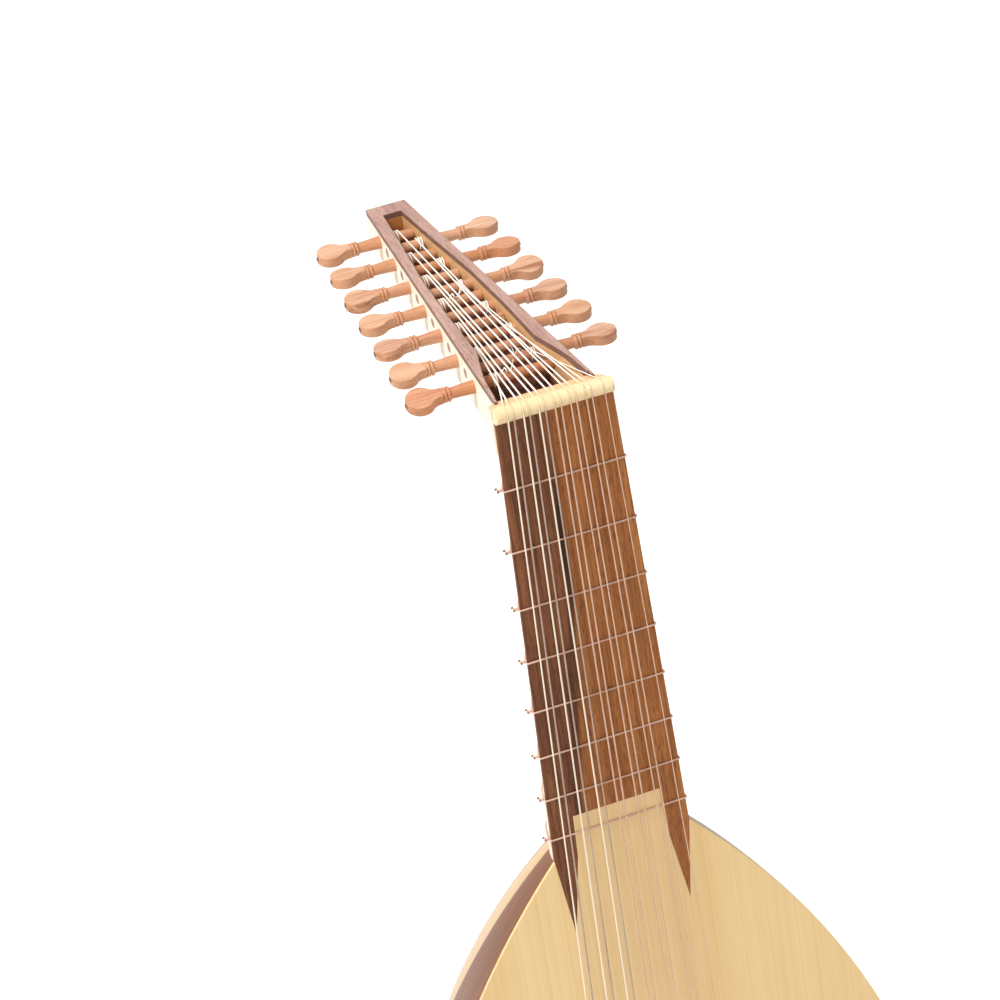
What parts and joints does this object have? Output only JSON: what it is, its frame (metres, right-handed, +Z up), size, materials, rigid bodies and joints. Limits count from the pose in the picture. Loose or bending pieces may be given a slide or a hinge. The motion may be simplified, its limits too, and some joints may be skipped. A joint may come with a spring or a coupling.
{
  "type": "lute",
  "caption": "Renaissance lute: ribbed bowl, pierced rose, bent-back open pegbox, turning flat-headed pegs, movable tied frets and paired strings.",
  "frame": {"origin": "outer end of the strap button, on the button axis", "axes": "+Z up along the neck and strings, -Y out of the soundboard, +X towards the treble side"},
  "size_m": [0.3, 0.2523, 0.7093],
  "materials": {
    "spruce_top": "oiled",
    "spruce_bar": "bare",
    "walnut_bridge": "waxed",
    "block_wood": "bare",
    "walnut_clasp": "varnished",
    "ebony": "polished",
    "neck_maple": "varnished",
    "fingerboard_walnut": "oiled",
    "bone": "polished bone",
    "pegbox_maple": "varnished",
    "walnut_capping": "oiled",
    "rib_yew": "varnished",
    "rib_maple": "varnished",
    "fret_gut": "satin gut or nylon",
    "peg_fruitwood": "waxed",
    "bass_string": "white loaded string",
    "wound_string": "satin wound string",
    "plain_string": "clear plain string"
  },
  "bodies": {
    "lute": {"soundboard": "spruce_top", "bar_upper": "spruce_bar", "bar_lower": "spruce_bar", "bridge": "walnut_bridge", "neck_block": "block_wood", "tail_block": "block_wood", "end_clasp": "walnut_clasp", "strap_button": "ebony", "neck": "neck_maple", "fingerboard": "fingerboard_walnut", "nut": "bone", "pegbox_block": "pegbox_maple", "pegbox_side_left": "pegbox_maple", "pegbox_side_right": "pegbox_maple", "pegbox_back": "pegbox_maple", "pegbox_end": "pegbox_maple", "pegbox_cap": "walnut_capping", "rib_1": "rib_yew", "rib_2": "rib_maple", "rib_3": "rib_yew", "rib_4": "rib_maple", "rib_5": "rib_yew", "rib_6": "rib_maple", "rib_7": "rib_yew", "rib_8": "rib_maple", "rib_9": "rib_yew", "string_01": "bass_string", "string_02": "wound_string", "string_03": "bass_string", "string_04": "wound_string", "string_05": "bass_string", "string_06": "wound_string", "string_07": "plain_string", "string_08": "plain_string", "string_09": "plain_string", "string_10": "plain_string", "string_11": "plain_string", "string_12": "plain_string", "string_13": "plain_string"},
    "fret_1": {"fret_1": "fret_gut"},
    "fret_2": {"fret_2": "fret_gut"},
    "fret_3": {"fret_3": "fret_gut"},
    "fret_4": {"fret_4": "fret_gut"},
    "fret_5": {"fret_5": "fret_gut"},
    "fret_6": {"fret_6": "fret_gut"},
    "fret_7": {"fret_7": "fret_gut"},
    "fret_8": {"fret_8": "fret_gut"},
    "peg_l7": {"peg_l7": "peg_fruitwood"},
    "peg_r6": {"peg_r6": "peg_fruitwood"},
    "peg_l6": {"peg_l6": "peg_fruitwood"},
    "peg_r5": {"peg_r5": "peg_fruitwood"},
    "peg_l5": {"peg_l5": "peg_fruitwood"},
    "peg_r4": {"peg_r4": "peg_fruitwood"},
    "peg_l4": {"peg_l4": "peg_fruitwood"},
    "peg_r3": {"peg_r3": "peg_fruitwood"},
    "peg_l3": {"peg_l3": "peg_fruitwood"},
    "peg_r2": {"peg_r2": "peg_fruitwood"},
    "peg_l2": {"peg_l2": "peg_fruitwood"},
    "peg_r1": {"peg_r1": "peg_fruitwood"},
    "peg_l1": {"peg_l1": "peg_fruitwood"}
  },
  "joints": [
    {"name": "fret_1_slide", "type": "slide", "parent": "lute", "child": "fret_1", "axis": [0, 0, 1], "range_m": [-0.0005, 0.0015]},
    {"name": "fret_2_slide", "type": "slide", "parent": "lute", "child": "fret_2", "axis": [0, 0, 1], "range_m": [-0.0005, 0.0015]},
    {"name": "fret_3_slide", "type": "slide", "parent": "lute", "child": "fret_3", "axis": [0, 0, 1], "range_m": [-0.0005, 0.0015]},
    {"name": "fret_4_slide", "type": "slide", "parent": "lute", "child": "fret_4", "axis": [0, 0, 1], "range_m": [-0.0005, 0.0015]},
    {"name": "fret_5_slide", "type": "slide", "parent": "lute", "child": "fret_5", "axis": [0, 0, 1], "range_m": [-0.0005, 0.0015]},
    {"name": "fret_6_slide", "type": "slide", "parent": "lute", "child": "fret_6", "axis": [0, 0, 1], "range_m": [-0.0005, 0.0015]},
    {"name": "fret_7_slide", "type": "slide", "parent": "lute", "child": "fret_7", "axis": [0, 0, 1], "range_m": [-0.0005, 0.0015]},
    {"name": "fret_8_slide", "type": "slide", "parent": "lute", "child": "fret_8", "axis": [0, 0, 1], "range_m": [-0.0005, 0.0015]},
    {"name": "peg_l7_turn", "type": "hinge", "parent": "lute", "child": "peg_l7", "pos_m": [0, 0.03569, 0.69106], "axis": [-1, 0, 0], "continuous": true},
    {"name": "peg_r6_turn", "type": "hinge", "parent": "lute", "child": "peg_r6", "pos_m": [0, 0.04976, 0.69185], "axis": [1, 0, 0], "continuous": true},
    {"name": "peg_l6_turn", "type": "hinge", "parent": "lute", "child": "peg_l6", "pos_m": [0, 0.06383, 0.69263], "axis": [-1, 0, 0], "continuous": true},
    {"name": "peg_r5_turn", "type": "hinge", "parent": "lute", "child": "peg_r5", "pos_m": [0, 0.0779, 0.69342], "axis": [1, 0, 0], "continuous": true},
    {"name": "peg_l5_turn", "type": "hinge", "parent": "lute", "child": "peg_l5", "pos_m": [0, 0.09197, 0.69421], "axis": [-1, 0, 0], "continuous": true},
    {"name": "peg_r4_turn", "type": "hinge", "parent": "lute", "child": "peg_r4", "pos_m": [0, 0.10604, 0.69499], "axis": [1, 0, 0], "continuous": true},
    {"name": "peg_l4_turn", "type": "hinge", "parent": "lute", "child": "peg_l4", "pos_m": [0, 0.12011, 0.69578], "axis": [-1, 0, 0], "continuous": true},
    {"name": "peg_r3_turn", "type": "hinge", "parent": "lute", "child": "peg_r3", "pos_m": [0, 0.13418, 0.69657], "axis": [1, 0, 0], "continuous": true},
    {"name": "peg_l3_turn", "type": "hinge", "parent": "lute", "child": "peg_l3", "pos_m": [0, 0.14824, 0.69736], "axis": [-1, 0, 0], "continuous": true},
    {"name": "peg_r2_turn", "type": "hinge", "parent": "lute", "child": "peg_r2", "pos_m": [0, 0.16231, 0.69814], "axis": [1, 0, 0], "continuous": true},
    {"name": "peg_l2_turn", "type": "hinge", "parent": "lute", "child": "peg_l2", "pos_m": [0, 0.17638, 0.69893], "axis": [-1, 0, 0], "continuous": true},
    {"name": "peg_r1_turn", "type": "hinge", "parent": "lute", "child": "peg_r1", "pos_m": [0, 0.19045, 0.69972], "axis": [1, 0, 0], "continuous": true},
    {"name": "peg_l1_turn", "type": "hinge", "parent": "lute", "child": "peg_l1", "pos_m": [0, 0.20452, 0.7005], "axis": [-1, 0, 0], "continuous": true}
  ]
}
